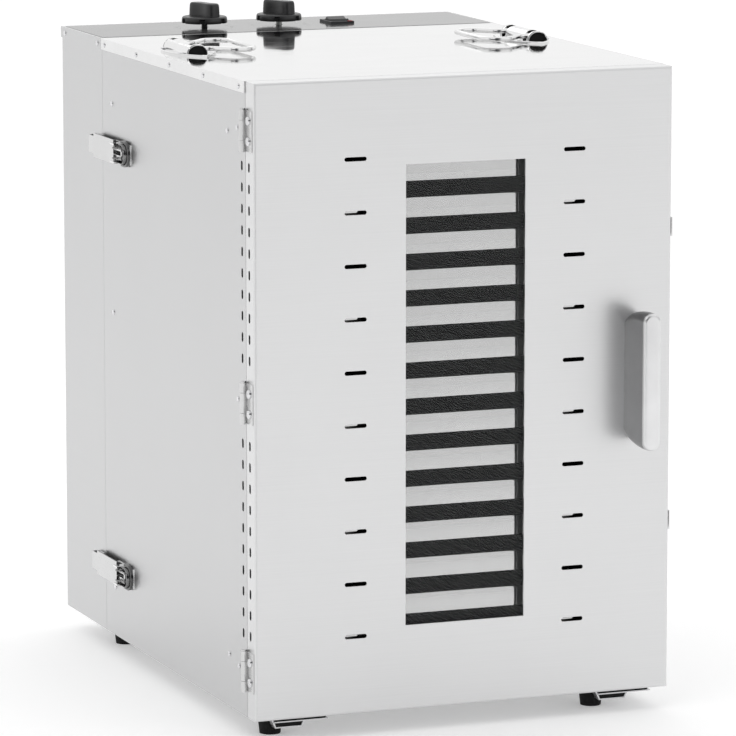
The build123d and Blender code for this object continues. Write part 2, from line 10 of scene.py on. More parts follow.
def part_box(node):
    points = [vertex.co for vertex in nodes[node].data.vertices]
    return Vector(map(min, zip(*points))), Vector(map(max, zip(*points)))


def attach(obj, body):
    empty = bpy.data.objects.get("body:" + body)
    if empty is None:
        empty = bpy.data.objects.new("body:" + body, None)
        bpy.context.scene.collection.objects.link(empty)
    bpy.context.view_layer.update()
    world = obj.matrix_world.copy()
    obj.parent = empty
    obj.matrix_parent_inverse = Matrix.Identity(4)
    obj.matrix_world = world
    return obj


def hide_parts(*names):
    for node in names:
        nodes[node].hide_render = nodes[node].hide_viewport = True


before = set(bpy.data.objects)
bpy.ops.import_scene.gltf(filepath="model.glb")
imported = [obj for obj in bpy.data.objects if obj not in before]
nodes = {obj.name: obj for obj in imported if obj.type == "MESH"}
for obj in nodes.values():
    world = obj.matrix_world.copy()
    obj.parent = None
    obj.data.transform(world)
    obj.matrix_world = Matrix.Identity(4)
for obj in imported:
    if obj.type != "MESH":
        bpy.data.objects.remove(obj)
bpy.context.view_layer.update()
MM = 0.001

BAIL_PIVOT_X = 177 * MM            # both carry handles, from the middle plane
CARRY_PLATE_X = 174 * MM
HOOD_HALF_LENGTH = 35 * MM
BRACKET_WIDTH = 62 * MM
KNOB_SKIRT_HEIGHT = 6.7 * MM
SHEET = 1.2 * MM                   # pressed parts of the latches


def low(node):
    """Lowest corner of a CAD node's box."""
    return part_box(node)[0]


def high(node):
    """Highest corner of a CAD node's box."""
    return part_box(node)[1]


def centre(node):
    a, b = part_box(node)
    return (a + b) / 2


# ---- small node-tree helpers ---------------------------------------------
def new_material(name):
    mat = bpy.data.materials.new(name)
    mat.use_nodes = True
    shader = mat.node_tree.nodes["Principled BSDF"]
    return mat, mat.node_tree, shader


def put(tree, kind, **values):
    """Adds a node; each value is one of its properties, or else the default of an input."""
    node = tree.nodes.new(kind)
    for key, value in values.items():
        if hasattr(node, key):
            setattr(node, key, value)
        else:
            node.inputs[key.replace("_", " ")].default_value = value
    return node


def object_space(tree, scale):
    """Object coordinates stretched by scale, so that grain runs along one axis."""
    coords = put(tree, "ShaderNodeTexCoord")
    mapping = put(tree, "ShaderNodeMapping")
    mapping.inputs["Scale"].default_value = scale
    tree.links.new(coords.outputs["Object"], mapping.inputs["Vector"])
    return mapping.outputs["Vector"]


def noise(tree, vector, scale, detail=4.0, rough=0.6):
    node = put(tree, "ShaderNodeTexNoise", Scale=scale, Detail=detail, Roughness=rough)
    tree.links.new(vector, node.inputs["Vector"])
    return node.outputs["Fac"]


def remap(tree, value, out_low, out_high, in_low=0.3, in_high=0.7):
    node = put(tree, "ShaderNodeMapRange")
    for name, number in (("From Min", in_low), ("From Max", in_high),
                         ("To Min", out_low), ("To Max", out_high)):
        node.inputs[name].default_value = number
    tree.links.new(value, node.inputs["Value"])
    return node.outputs["Result"]


def tint(tree, value, dark, light):
    """A colour between dark and light, by value."""
    node = put(tree, "ShaderNodeMix", data_type="RGBA")
    node.inputs["A"].default_value = (*dark, 1)
    node.inputs["B"].default_value = (*light, 1)
    tree.links.new(value, node.inputs["Factor"])
    return node.outputs["Result"]


def bump(tree, height, shader, strength, distance):
    node = put(tree, "ShaderNodeBump", Strength=strength, Distance=distance)
    tree.links.new(height, node.inputs["Height"])
    tree.links.new(node.outputs["Normal"], shader.inputs["Normal"])


def combine(tree, a, b, operation="ADD", factor=None):
    node = put(tree, "ShaderNodeMath", operation=operation)
    tree.links.new(a, node.inputs[0])
    if b is not None:
        tree.links.new(b, node.inputs[1])
    else:
        node.inputs[1].default_value = factor
    return node.outputs["Value"]


# ---- materials ------------------------------------------------------------
def brushed_steel(name, level, grain, rough=(0.26, 0.40), depth=0.25, contrast=0.035):
    """Stainless sheet with fine lines along one axis; grain is the stretch of the lines."""
    mat, tree, shader = new_material(name)
    lines = noise(tree, object_space(tree, grain), 1.0, 3.0, 0.7)
    cloud = noise(tree, object_space(tree, (1, 1, 1)), 9.0, 3.0, 0.5)
    shade = combine(tree, combine(tree, lines, None, "MULTIPLY", 0.75),
                    combine(tree, cloud, None, "MULTIPLY", 0.25))
    dark = tuple(level - contrast + tone for tone in (0.0, 0.001, 0.004))
    light = tuple(level + contrast + tone for tone in (0.0, 0.001, 0.004))
    tree.links.new(tint(tree, remap(tree, shade, 0, 1), dark, light), shader.inputs["Base Color"])
    tree.links.new(remap(tree, lines, *rough), shader.inputs["Roughness"])
    shader.inputs["Metallic"].default_value = 1.0
    bump(tree, lines, shader, depth, 0.00006)
    return mat


def polished_steel(name, level=0.76, rough=(0.03, 0.09), waves=0.12):
    """Mirror finish with faint smears and a very slight wave in the sheet."""
    mat, tree, shader = new_material(name)
    smear = noise(tree, object_space(tree, (1, 3, 1)), 14.0, 5.0, 0.6)
    wave = noise(tree, object_space(tree, (1, 1, 1)), 7.0, 1.0, 0.4)
    dark, light = (level - 0.03,) * 3, (level + 0.01,) * 3
    tree.links.new(tint(tree, remap(tree, smear, 0, 1), dark, light), shader.inputs["Base Color"])
    tree.links.new(remap(tree, smear, *rough), shader.inputs["Roughness"])
    shader.inputs["Metallic"].default_value = 1.0
    bump(tree, wave, shader, waves, 0.0006)
    return mat


def cast_metal(name, colour, rough=(0.25, 0.38), grain=900.0, metallic=1.0):
    """Fine satin metal without a direction, for handles, motors and blades."""
    mat, tree, shader = new_material(name)
    fine = noise(tree, object_space(tree, (1, 1, 1)), grain, 3.0, 0.6)
    broad = noise(tree, object_space(tree, (1, 1, 1)), 25.0, 3.0, 0.5)
    dark, light = tuple(c * 0.94 for c in colour), tuple(min(1, c * 1.04) for c in colour)
    tree.links.new(tint(tree, remap(tree, broad, 0, 1), dark, light), shader.inputs["Base Color"])
    tree.links.new(remap(tree, fine, *rough), shader.inputs["Roughness"])
    shader.inputs["Metallic"].default_value = metallic
    bump(tree, fine, shader, 0.15, 0.00005)
    return mat


def moulded_plastic(name, colour, rough=(0.30, 0.42), grain=1800.0, depth=0.2):
    """Injection-moulded plastic: fine spark texture, faint cloudiness, slightly worn sheen."""
    mat, tree, shader = new_material(name)
    fine = noise(tree, object_space(tree, (1, 1, 1)), grain, 2.0, 0.5)
    broad = noise(tree, object_space(tree, (1, 1, 1)), 60.0, 3.0, 0.5)
    light = tuple(min(1, c * 1.5 + 0.006) for c in colour)
    tree.links.new(tint(tree, remap(tree, broad, 0, 1), colour, light), shader.inputs["Base Color"])
    tree.links.new(remap(tree, broad, *rough), shader.inputs["Roughness"])
    bump(tree, fine, shader, depth, 0.00005)
    return mat


def rubber(name):
    """Matt black rubber with a little dust."""
    mat, tree, shader = new_material(name)
    fine = noise(tree, object_space(tree, (1, 1, 1)), 1200.0, 4.0, 0.7)
    dust = noise(tree, object_space(tree, (1, 1, 2)), 70.0, 4.0, 0.6)
    tree.links.new(tint(tree, remap(tree, dust, 0, 1), (0.004, 0.004, 0.004), (0.012, 0.012, 0.0125)),
                   shader.inputs["Base Color"])
    tree.links.new(remap(tree, dust, 0.55, 0.8), shader.inputs["Roughness"])
    shader.inputs["Specular IOR Level"].default_value = 0.2
    bump(tree, fine, shader, 0.3, 0.0001)
    return mat


def window_glass(name):
    """Clear pane: mostly see-through, with a faint film of smears that shows in its gloss, and a faint grey
    veil of painted light over what is seen through it.
    """
    mat, tree, shader = new_material(name)
    smear = noise(tree, object_space(tree, (1, 1, 1)), 30.0, 3.0, 0.6)
    # grey base colour: painted light that lifts the dark gaps seen through the pane
    shader.inputs["Base Color"].default_value = (0.30, 0.31, 0.31, 1)
    tree.links.new(remap(tree, smear, 0.01, 0.05), shader.inputs["Roughness"])
    shader.inputs["Alpha"].default_value = 0.055
    mat.surface_render_method = "BLENDED"
    return mat


def control_film(name):
    """Glossy dark film on the controls' cap, which mirrors the knobs at a low angle."""
    mat, tree, shader = new_material(name)
    fleck = noise(tree, object_space(tree, (1, 1, 1)), 2200.0, 2.0, 0.5)
    broad = noise(tree, object_space(tree, (1, 1, 1)), 12.0, 2.0, 0.5)
    shade = combine(tree, combine(tree, fleck, None, "MULTIPLY", 0.4),
                    combine(tree, broad, None, "MULTIPLY", 0.6))
    tree.links.new(tint(tree, remap(tree, shade, 0, 1), (0.045, 0.045, 0.046), (0.070, 0.070, 0.071)),
                   shader.inputs["Base Color"])
    tree.links.new(remap(tree, broad, 0.07, 0.13), shader.inputs["Roughness"])
    bump(tree, broad, shader, 0.08, 0.0004)
    shader.inputs["IOR"].default_value = 1.36
    return mat


def ink(name, colour):
    """Printed marks and the red tell-tale: a solid colour with a faint print grain."""
    mat, tree, shader = new_material(name)
    grain = noise(tree, object_space(tree, (1, 1, 1)), 1500.0, 2.0, 0.5)
    light = tuple(min(1, c * 1.15 + 0.01) for c in colour)
    tree.links.new(tint(tree, remap(tree, grain, 0, 1), colour, light), shader.inputs["Base Color"])
    shader.inputs["Roughness"].default_value = 0.45
    return mat


DOOR_STEEL = brushed_steel("door_brushed_steel", 0.70, (7, 7, 1500), rough=(0.30, 0.38), depth=0.12,
                           contrast=0.02)
SIDE_STEEL = brushed_steel("side_satin_steel", 0.575, (900, 6, 900), rough=(0.28, 0.36), contrast=0.012)
INNER_STEEL = brushed_steel("inner_steel", 0.28, (700, 700, 8), rough=(0.3, 0.45))
MIRROR_STEEL = polished_steel("mirror_top_steel")
TRAY_STEEL = polished_steel("tray_lip_steel", 0.63, (0.02, 0.05), 0.01)
# the wires are near black: painted shade for the dark gaps between the trays
WIRE_PAINTED_SHADE = cast_metal("tray_wire_painted_shade", (0.03, 0.03, 0.031), (0.6, 0.75), 400.0)
LATCH_STEEL = polished_steel("latch_steel", 0.62, (0.10, 0.2), 0.1)
# dark polished steel: painted shade and painted dark reflection in the latch base's cup
LATCH_CUP_PAINTED_SHADE = polished_steel("latch_cup_painted_shade", 0.16, (0.18, 0.30), 0.25)
# dark polished steel: painted dark reflection and painted shade on the latch lever
LEVER_PAINTED_SHADE = polished_steel("lever_painted_shade", 0.22, (0.12, 0.22), 0.25)
# darker copy of the handle metal: painted shade on the door pull's sides
PULL_SIDE_PAINTED_SHADE = cast_metal("pull_side_painted_shade", (0.36, 0.36, 0.365), (0.35, 0.45))
HINGE_STEEL = polished_steel("hinge_steel", 0.64, (0.12, 0.22), 0.3)
BRACKET_STEEL = cast_metal("bracket_steel", (0.62, 0.62, 0.63), (0.25, 0.4), 300.0)
CHROME = polished_steel("chrome_fittings", 0.80, (0.05, 0.12), 0.2)
RIVET_STEEL = cast_metal("rivet_steel", (0.72, 0.72, 0.73), (0.15, 0.3))
HANDLE_METAL = cast_metal("handle_satin_metal", (0.74, 0.74, 0.745), (0.30, 0.40))
FAN_METAL = cast_metal("fan_aluminium", (0.78, 0.79, 0.80), (0.3, 0.45), 300.0)
MOTOR_METAL = cast_metal("motor_zinc_plate", (0.50, 0.51, 0.50), (0.35, 0.5), 200.0)
HEATER_METAL = cast_metal("heater_sheath", (0.30, 0.26, 0.22), (0.4, 0.6), 250.0)
KNOB_PLASTIC = moulded_plastic("knob_black_plastic", (0.016, 0.016, 0.017))
CASE_PLASTIC = moulded_plastic("case_black_plastic", (0.03, 0.03, 0.032), (0.45, 0.6))
ROCKER_PLASTIC = moulded_plastic("rocker_gloss_plastic", (0.012, 0.012, 0.013), (0.12, 0.2), 900.0, 0.08)
FOOT_RUBBER = rubber("foot_rubber")
PANE_GLASS = window_glass("window_glass")
FILM = control_film("control_film")
WHITE_INK = ink("white_print", (0.75, 0.75, 0.74))
RED_INK = ink("red_tell_tale", (0.45, 0.02, 0.02))

NODE_MATERIALS = {
    "left_side_panel": SIDE_STEEL, "right_side_panel": SIDE_STEEL, "rear_housing": SIDE_STEEL,
    "rear_back_wall": SIDE_STEEL, "bottom_panel": SIDE_STEEL, "foot_brackets": BRACKET_STEEL,
    "top_panel": MIRROR_STEEL, "rear_top_cap": SIDE_STEEL, "tray_guides": INNER_STEEL,
    "air_baffle": INNER_STEEL, "cabinet_rivets": RIVET_STEEL, "rear_fasteners": RIVET_STEEL,
    "door_fasteners": RIVET_STEEL, "hinge_cabinet_leaves": HINGE_STEEL, "hinge_door_leaves": HINGE_STEEL,
    "door_spring_catches": CHROME, "carry_handle_plates": CHROME, "left_bail": CHROME,
    "right_bail": CHROME, "latch_bases": CHROME, "door_skin": DOOR_STEEL, "window_pane": PANE_GLASS,
    "window_retainer": INNER_STEEL, "door_handle": HANDLE_METAL, "fan_motor": MOTOR_METAL,
    "heater_element": HEATER_METAL, "timer_body": CASE_PLASTIC, "thermostat_body": MOTOR_METAL,
    "switch_body": CASE_PLASTIC, "switch_rocker": ROCKER_PLASTIC, "power_inlet": CASE_PLASTIC,
    "fan_blade": FAN_METAL, "front_feet": FOOT_RUBBER, "rear_feet": FOOT_RUBBER,
    "timer_knob": KNOB_PLASTIC, "thermostat_knob": KNOB_PLASTIC,
}


def dress_cad_nodes():
    """Gives every carried-over CAD node its material."""
    for name, obj in nodes.items():
        mat = NODE_MATERIALS.get(name, LATCH_STEEL if "latch" in name else TRAY_STEEL)
        obj.data.materials.clear()
        obj.data.materials.append(mat)


# ---- mesh helpers -----------------------------------------------------------
def piece(name, bm, material, body, replaces=(), smooth=35.0):
    """Turns a bmesh in frame coordinates into a piece that rides on a body."""
    mesh = bpy.data.meshes.new(name)
    bmesh.ops.recalc_face_normals(bm, faces=bm.faces)
    bm.to_mesh(mesh)
    bm.free()
    obj = bpy.data.objects.new(name, mesh)
    bpy.context.scene.collection.objects.link(obj)
    mesh.materials.append(material)
    smooth_by_angle(mesh, smooth)
    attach(obj, body)
    if replaces:
        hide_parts(*replaces)
    return obj


def smooth_by_angle(mesh, degrees):
    """Smooth shading with the edges above an angle left sharp."""
    mesh.polygons.foreach_set("use_smooth", [True] * len(mesh.polygons))
    bm = bmesh.new()
    bm.from_mesh(mesh)
    limit = radians(degrees)
    for edge in bm.edges:
        if len(edge.link_faces) == 2 and edge.calc_face_angle(0.0) > limit:
            edge.smooth = False
    bm.to_mesh(mesh)
    bm.free()


def ring_of(bm, points):
    """New vertices at the points."""
    return [bm.verts.new(p) for p in points]


def skin(bm, rings, closed=True, capped=True):
    """Faces between successive rings of vertices, with the two ends filled."""
    count = len(rings[0])
    for a, b in zip(rings, rings[1:]):
        for i in range(count if closed else count - 1):
            j = (i + 1) % count
            bm.faces.new((a[i], a[j], b[j], b[i]))
    if capped:
        bm.faces.new(rings[0][::-1])
        bm.faces.new(rings[-1])


def tube(bm, points, radius, sides=8, cyclic=False):
    """A round bar along a list of points, with frames carried along the path."""
    pts = [Vector(p) for p in points]
    count = len(pts)
    normal = None
    rings = []
    for i, p in enumerate(pts):
        before = pts[i - 1] if i > 0 or cyclic else p
        after = pts[(i + 1) % count] if i < count - 1 or cyclic else p
        tangent = (after - before).normalized()
        if normal is None:
            normal = tangent.orthogonal().normalized()
        normal = (normal - tangent * normal.dot(tangent)).normalized()
        across = tangent.cross(normal)
        turns = [2 * pi * k / sides for k in range(sides)]
        rings.append(ring_of(bm, [p + (normal * cos(t) + across * sin(t)) * radius for t in turns]))
    if cyclic:
        # the last ring meets the first with the least twist
        best = min(range(sides), key=lambda s: sum((rings[-1][(k + s) % sides].co - rings[0][k].co).length
                                                   for k in range(sides)))
        rings.append([rings[0][(k - best) % sides] for k in range(sides)])
        skin(bm, rings, capped=False)
    else:
        skin(bm, rings)


def arc(centre_point, start, end, radius, steps, plane="xy"):
    """Points on an arc in degrees, in one of the frame's planes."""
    out = []
    for k in range(steps + 1):
        a = radians(start + (end - start) * k / steps)
        u, v = radius * cos(a), radius * sin(a)
        offset = {"xy": (u, v, 0), "yz": (0, u, v), "xz": (u, 0, v)}[plane]
        out.append(Vector(centre_point) + Vector(offset))
    return out


def rounded_loop(x0, x1, y0, y1, z, radius, steps=6):
    """A rounded rectangle of points at height z."""
    corners = (((x1 - radius, y1 - radius), 0), ((x0 + radius, y1 - radius), 90),
               ((x0 + radius, y0 + radius), 180), ((x1 - radius, y0 + radius), 270))
    return [p for (x, y), a in corners for p in arc((x, y, z), a, a + 90, radius, steps)]


def prism(bm, outline, start, end, axis="x"):
    """Extrudes a 2-D outline from start to end along an axis."""
    def place(p, t):
        return {"x": (t, p[0], p[1]), "y": (p[0], t, p[1]), "z": (p[0], p[1], t)}[axis]
    skin(bm, [ring_of(bm, [place(p, t) for p in outline]) for t in (start, end)])


def bevelled(bm, width, segments=3, angle=30.0):
    """Rounds the sharp edges of everything in bm."""
    edges = [e for e in bm.edges if len(e.link_faces) == 2 and e.calc_face_angle(0.0) > radians(angle)]
    bmesh.ops.bevel(bm, geom=edges, offset=width, segments=segments, profile=0.5, affect="EDGES",
                    clamp_overlap=True)


# ---- trays ------------------------------------------------------------------
def tray_frame(a, b):
    """Rims with a rolled bead, and a folded front lip whose top edge is a closed hem."""
    bm = bmesh.new()
    rim_top = a.z + 8 * MM
    for x0, x1 in ((a.x, a.x + 1.2 * MM), (b.x - 1.2 * MM, b.x)):
        prism(bm, [(x0, a.z), (x1, a.z), (x1, rim_top - 1 * MM), (x0, rim_top - 1 * MM)],
              a.y + 3 * MM, b.y - 1.3 * MM, "y")
    bead = [(a.x + 1.3 * MM, a.y + 4 * MM), (a.x + 1.3 * MM, b.y - 4 * MM), (a.x + 4 * MM, b.y - 1.3 * MM),
            (b.x - 4 * MM, b.y - 1.3 * MM), (b.x - 1.3 * MM, b.y - 4 * MM), (b.x - 1.3 * MM, a.y + 4 * MM)]
    tube(bm, [(x, y, rim_top) for x, y in bead], 1.3 * MM, 10)
    prism(bm, [(b.y - 1.2 * MM, a.z), (b.y, a.z), (b.y, rim_top - 1 * MM),
               (b.y - 1.2 * MM, rim_top - 1 * MM)], a.x + 0.5 * MM, b.x - 0.5 * MM, "x")
    top, t, hem = b.z, 1.0 * MM, 1.5 * MM
    outline = [(a.y, a.z), (a.y + 9 * MM, a.z), (a.y + 9 * MM, a.z + t), (a.y + t, a.z + t),
               (a.y + t, top - 5 * MM), (a.y + hem + t, top - 5 * MM)]
    half = (hem + t) / 2
    outline += [(a.y + half + half * cos(radians(d)), top - half + half * sin(radians(d)))
                for d in range(0, 181, 30)]
    prism(bm, outline, a.x, b.x, "x")
    return bm


def tray_wires(a, b):
    """Wire floor: straight wires one way, laid on straight wires the other way, on the frame."""
    bm = bmesh.new()
    wire, pitch, inset = 0.6 * MM, 6.0 * MM, 1.0 * MM      # wire is the radius
    z, front = a.z + 2.2 * MM, a.y + 3 * MM
    for k in range(1, int((b.x - a.x) / pitch)):
        x = a.x + pitch * k
        tube(bm, [(x, front, z + wire), (x, b.y - inset, z + wire)], wire, 6)
    for k in range(1, int((b.y - a.y) / pitch)):
        y = a.y + pitch * k
        tube(bm, [(a.x + inset, y, z - 0.5 * wire), (b.x - inset, y, z - 0.5 * wire)], wire, 6)
    return bm


def build_trays():
    """Sixteen trays from one frame mesh and one wire mesh."""
    first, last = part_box("tray_01")
    frame_mesh = wire_mesh = None
    for index in range(1, 17):
        node = f"tray_{index:02d}"
        if frame_mesh is None:
            frame_mesh = piece(f"{node}_frame", tray_frame(first, last), TRAY_STEEL, "cabinet",
                               (node,)).data
            wire_mesh = piece(f"{node}_wires", tray_wires(first, last), WIRE_PAINTED_SHADE, "cabinet").data
            continue
        lift = Vector((0, 0, low(node).z - first.z))
        frame_obj = copy_piece(f"{node}_frame", frame_mesh, lift, "cabinet")
        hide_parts(node)
        copy_piece(f"{node}_wires", wire_mesh, lift, "cabinet")


def copy_piece(name, mesh, offset, body):
    """Another piece that shares a mesh, moved by offset."""
    obj = bpy.data.objects.new(name, mesh)
    obj.location = offset
    bpy.context.scene.collection.objects.link(obj)
    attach(obj, body)
    return obj


# ---- top of the cabinet -------------------------------------------------------
def sheet_with_holes(bm, outer, holes, z0, z1):
    """A flat sheet between two heights with holes through it."""
    loops = [outer, *holes]
    for points in loops:
        verts = [bm.verts.new((x, y, z1)) for x, y in points]
        for i, v in enumerate(verts):
            bm.edges.new((v, verts[(i + 1) % len(verts)]))
    bmesh.ops.triangle_fill(bm, edges=bm.edges[:], use_beauty=True)
    grown = bmesh.ops.extrude_face_region(bm, geom=bm.faces[:])
    for item in grown["geom"]:
        if isinstance(item, bmesh.types.BMVert):
            item.co.z = z0


def flat_loop(x0, x1, y0, y1, radius, steps=5):
    """A rounded rectangle as (x, y) pairs."""
    return [(p.x, p.y) for p in rounded_loop(x0, x1, y0, y1, 0, radius, steps)]


def build_control_film():
    """Dark glossy sheet on the cap, with generic dial ticks and the switch's tell-tale."""
    a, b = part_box("rear_top_cap")
    switch_a, switch_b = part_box("switch_body")
    bm = bmesh.new()
    holes = [flat_loop(switch_a.x + 1 * MM, switch_b.x - 1 * MM, switch_a.y + 1 * MM, switch_b.y - 1 * MM,
                       1 * MM)]
    holes += [[(p.x, p.y) for p in arc(centre(knob), 0, 345, 4.2 * MM, 23)]
              for knob in ("timer_knob", "thermostat_knob")]
    outer = flat_loop(a.x + 3 * MM, b.x - 3 * MM, a.y + 3.5 * MM, b.y - 4 * MM, 4 * MM)
    sheet_with_holes(bm, outer, holes, b.z, b.z + 0.25 * MM)
    piece("control_film", bm, FILM, "rear_module")
    marks = bmesh.new()
    for node, sweep, count in (("timer_knob", 300, 13), ("thermostat_knob", 270, 10)):
        middle = centre(node)
        for k in range(count):
            a_deg = 240 - sweep * k / (count - 1)
            out = Vector((cos(radians(a_deg)), sin(radians(a_deg)), 0))
            side = Vector((-out.y, out.x, 0)) * 0.45 * MM
            reach = 30.5 if k % 3 == 0 else 29.0
            start, end = middle + out * 26.5 * MM, middle + out * reach * MM
            loop = [start - side, end - side, end + side, start + side]
            skin(marks, [ring_of(marks, [(p.x, p.y, b.z + 0.24 * MM) for p in loop]),
                         ring_of(marks, [(p.x, p.y, b.z + 0.33 * MM) for p in loop])])
    piece("dial_marks", marks, WHITE_INK, "rear_module")
    lamp = bmesh.new()
    x, y, z = switch_b.x - 4.2 * MM, switch_a.y + 0.9 * MM, switch_b.z
    prism(lamp, [(x - 2.6 * MM, y - 0.5 * MM), (x + 2.6 * MM, y - 0.5 * MM), (x + 2.6 * MM, y + 0.9 * MM),
                 (x - 2.6 * MM, y + 0.9 * MM)], z - 0.6 * MM, z + 0.5 * MM, "z")
    bevelled(lamp, 0.25 * MM, 2)
    piece("switch_tell_tale", lamp, RED_INK, "rear_module")


def half_ellipse(y, half_w, height, base_z, mid_x, steps=20):
    """Points over the upper half of an ellipse, across the cabinet."""
    return [Vector((mid_x + half_w * cos(pi * k / steps), y, base_z + height * sin(pi * k / steps)))
            for k in range(steps + 1)]


def build_carry_trim(side, name):
    """Rolled rims on both ends of a handle's hood and a dark plug behind each, painted shade for the hood's
    dark inside.
    """
    mid_x = side * BAIL_PIVOT_X
    base_z = high("top_panel").z + 1.5 * MM
    y0, y1 = low("carry_handle_plates").y, high("carry_handle_plates").y
    middle = (y0 + y1) / 2
    rims, shade_plugs = bmesh.new(), bmesh.new()
    for s in (-1, 1):
        y = middle + s * HOOD_HALF_LENGTH
        tube(rims, half_ellipse(y, 10.1 * MM, 9.0 * MM, base_z - 0.2 * MM, mid_x), 0.9 * MM, 8)
        near, far = sorted((y - s * 1.0 * MM, y - s * 2.2 * MM))
        profile = half_ellipse(0, 9.25 * MM, 8.25 * MM, base_z + 0.05 * MM, mid_x)
        skin(shade_plugs, [ring_of(shade_plugs, [(p.x, near, p.z) for p in profile]),
                     ring_of(shade_plugs, [(p.x, far, p.z) for p in profile])])
    piece(f"{name}_hood_rims", rims, CHROME, "cabinet")
    # the black plugs stand where the hood's inside is in shade: painted shade
    piece(f"{name}_hood_shade_plugs", shade_plugs, FOOT_RUBBER, "cabinet")


def build_plate_bead(side, name):
    """Raised bead round the lens-shaped plate of a carry handle."""
    half_w, half_l = 23.4 * MM, 54.0 * MM
    big = (half_l ** 2 + half_w ** 2) / (2 * half_w)
    span = degrees(asin(half_l / big))
    mid = Vector((side * CARRY_PLATE_X, centre("carry_handle_plates").y, high("top_panel").z + 1.3 * MM))
    right = arc(mid + Vector((half_w - big, 0, 0)), -span, span, big, 24)
    left = arc(mid - Vector((half_w - big, 0, 0)), 180 - span, 180 + span, big, 24)
    bm = bmesh.new()
    tube(bm, right[:-1] + left[:-1], 0.8 * MM, 8, cyclic=True)
    piece(f"{name}_plate_bead", bm, CHROME, "cabinet")


def rounded_path(points, radii, steps=8):
    """A closed path through corners, each one turned into an arc of its radius."""
    out = []
    count = len(points)
    for i in range(count):
        before, corner, after = (Vector(points[k % count]) for k in (i - 1, i, i + 1))
        u, v = (before - corner).normalized(), (after - corner).normalized()
        half = u.angle(v) / 2
        reach = radii[i] / tan(half)
        middle = corner + (u + v).normalized() * (radii[i] / sin(half))
        first, last = corner + u * reach - middle, corner + v * reach - middle
        for k in range(steps + 1):
            out.append(middle + first.lerp(last, k / steps).normalized() * radii[i])
    return out


def build_bail(side, name):
    """Polished round bar bent to a loop with wide corners, folded flat towards the middle."""
    node = f"{name}_bail"
    a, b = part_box(node)
    middle = (a + b) / 2
    pivot = side * BAIL_PIVOT_X
    corners = [(0, -27), (17, -27), (34, -46), (58, -46), (58, 46), (34, 46), (17, 27), (0, 27)]
    radii = [5, 10, 9, 15, 15, 9, 10, 5]
    points = [(pivot - side * x * MM, middle.y + y * MM, middle.z) for x, y in corners]
    bm = bmesh.new()
    tube(bm, rounded_path(points, [r * MM for r in radii]), 2.5 * MM, 16, cyclic=True)
    piece(f"{node}_bar", bm, CHROME, f"{name}_carry_handle", (node,), 60)


# ---- latches ------------------------------------------------------------------
def open_wall(bm, loops):
    """A wall of closed section round an open outline, with both ends shut."""
    rings = [ring_of(bm, loop) for loop in loops]
    skin(bm, [*rings, rings[0]], closed=False, capped=False)
    for i in (0, len(rings[0]) - 1):
        bm.faces.new([ring[i] for ring in rings])


def build_latch_lever(side, name, level):
    """Lever with a dished, round-ended thumb piece, and the base's cup, both in dark steel with painted shade
    and painted dark reflection; side is -1 on the left.
    """
    node = f"latch_lever_{name}_{level}"
    a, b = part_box(node)
    middle = (a + b) / 2
    face = a.x if side < 0 else b.x
    thumb_face = face - side * 4.0 * MM
    tip = a.y + 10.0 * MM
    pivot_y = tip + 17 * MM

    def d_loop(x, radius, back, limit=None):
        """A D outline at x, round at the front and open at the back."""
        turn = [(tip + 1 * MM - radius * sin(pi * k / 32), radius * cos(pi * k / 32)) for k in range(33)]
        outline = [(back, radius), *turn, (back, -radius)]
        return [(x, y if limit is None else min(y, limit), middle.z + z) for y, z in outline]

    # a cup whose wall follows the thumb end, with its floor only in front of the cross pin
    bm = bmesh.new()
    back, floor_back = a.y + 28 * MM, a.y + 14 * MM
    wall = ((9.7, -5.6), (9.7, -0.9), (9.4, -0.2), (9.0, 0.0), (8.75, -0.6), (8.75, -5.6))
    open_wall(bm, [d_loop(thumb_face + side * rise * MM, r * MM, back) for r, rise in wall])
    dish = ((8.7, -5.0), (8.7, -4.2), (6.6, -3.6), (3.6, -3.3))
    skin(bm, [ring_of(bm, d_loop(thumb_face + side * rise * MM, r * MM, floor_back, floor_back))
              for r, rise in dish])
    bead = arc((0, 0, 0), 100, 260, 5.6 * MM, 20)
    tube(bm, [(thumb_face - side * 2.2 * MM, tip + 3 * MM + p.x, middle.z + p.y) for p in bead], 1.0 * MM, 10)
    for s in (-1, 1):
        z0, z1 = sorted((middle.z + s * 4.3 * MM, middle.z + s * 5.8 * MM))
        cheek = [(4.3, -18), (4.3, -4.2), (1.3, -1.6), (1.3, 1.6), (4.0, 3.0), (6.5, 1.8), (9.5, -7),
                 (9.5, -13), (6.5, -15.5)]
        prism(bm, [(face - side * depth * MM, pivot_y + y * MM) for depth, y in cheek], z0, z1, "z")
        stub = [(face - side * 3.5 * MM, pivot_y, middle.z + s * z * MM) for z in (5.6, 10.3)]
        tube(bm, stub, 1.5 * MM, 16)
    piece(f"{node}_pressed", bm, LEVER_PAINTED_SHADE, f"{name}_{level}_lever", (node,), 32)

    # the base's cup, on the panel, that the thumb end lies in, dark with painted shade and painted dark
    # reflection
    bm = bmesh.new()
    floor_x, rim_x, cup_back = face - side * 10.2 * MM, face - side * 7.2 * MM, a.y + 20 * MM
    cup = ((12.6, floor_x), (12.6, rim_x - side * 0.5 * MM), (12.1, rim_x), (10.9, rim_x),
           (10.5, rim_x - side * 0.5 * MM), (10.4, floor_x))
    open_wall(bm, [d_loop(x, r * MM, cup_back) for r, x in cup])
    plate = ((10.6, 0.0), (10.6, 0.6), (5.0, 0.7))
    skin(bm, [ring_of(bm, d_loop(floor_x + side * rise * MM, r * MM, cup_back)) for r, rise in plate])
    piece(f"latch_base_cup_{name}_{level}", bm, LATCH_CUP_PAINTED_SHADE, "cabinet", (), 32)


